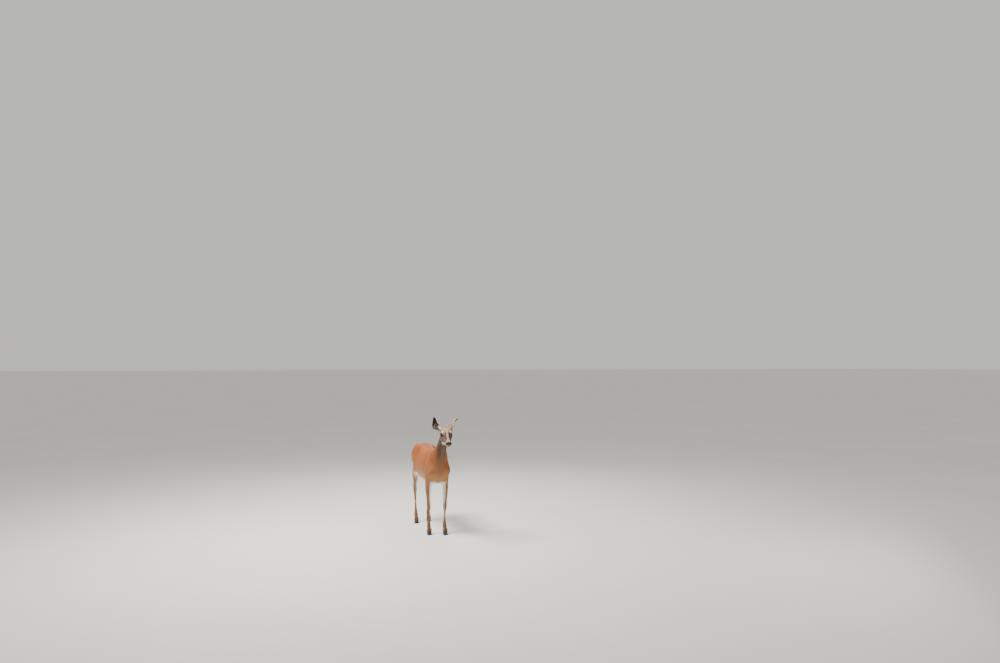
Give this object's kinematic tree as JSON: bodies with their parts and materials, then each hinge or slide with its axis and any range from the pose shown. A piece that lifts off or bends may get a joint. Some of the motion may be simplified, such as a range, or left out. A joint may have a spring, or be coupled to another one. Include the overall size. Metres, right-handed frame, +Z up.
{
  "type": "white-tailed deer",
  "caption": "Life-size antlerless white-tailed doe in summer coat, standing square with her neck half raised, ears up and tail hanging.",
  "frame": {"origin": "on the floor under the middle of the bounding box", "axes": "+Y runs back towards the tail, so the head points to -Y, +X is the animal's left, +Z is up"},
  "size_m": [0.2926, 1.372, 1.2153],
  "materials": {
    "coat": "short, smooth red-brown summer hair",
    "face_coat": "very short grey-brown hair",
    "tail_coat": "long soft hair, brown above with a white fringe and underside",
    "nose_skin": "moist, finely pebbled bare skin",
    "eye": "wet, clear, nearly black",
    "horn": "satin dark hoof horn"
  },
  "bodies": {
    "root": {"ear_left": "face_coat", "ear_right": "face_coat", "eye_left": "eye", "eye_right": "eye", "fore_cannon_left": "coat", "fore_cannon_right": "coat", "fore_left_claw_inner": "horn", "fore_left_claw_outer": "horn", "fore_left_dewclaw_inner": "horn", "fore_left_dewclaw_outer": "horn", "fore_pastern_left": "coat", "fore_pastern_right": "coat", "fore_right_claw_inner": "horn", "fore_right_claw_outer": "horn", "fore_right_dewclaw_inner": "horn", "fore_right_dewclaw_outer": "horn", "forearm_left": "coat", "forearm_right": "coat", "head": "face_coat", "hind_cannon_left": "coat", "hind_cannon_right": "coat", "hind_left_claw_inner": "horn", "hind_left_claw_outer": "horn", "hind_left_dewclaw_inner": "horn", "hind_left_dewclaw_outer": "horn", "hind_pastern_left": "coat", "hind_pastern_right": "coat", "hind_right_claw_inner": "horn", "hind_right_claw_outer": "horn", "hind_right_dewclaw_inner": "horn", "hind_right_dewclaw_outer": "horn", "neck": "coat", "nose": "nose_skin", "shank_left": "coat", "shank_right": "coat", "shoulder_left": "coat", "shoulder_right": "coat", "tail": "tail_coat", "thigh_left": "coat", "thigh_right": "coat", "trunk": "coat"}
  },
  "joints": []
}
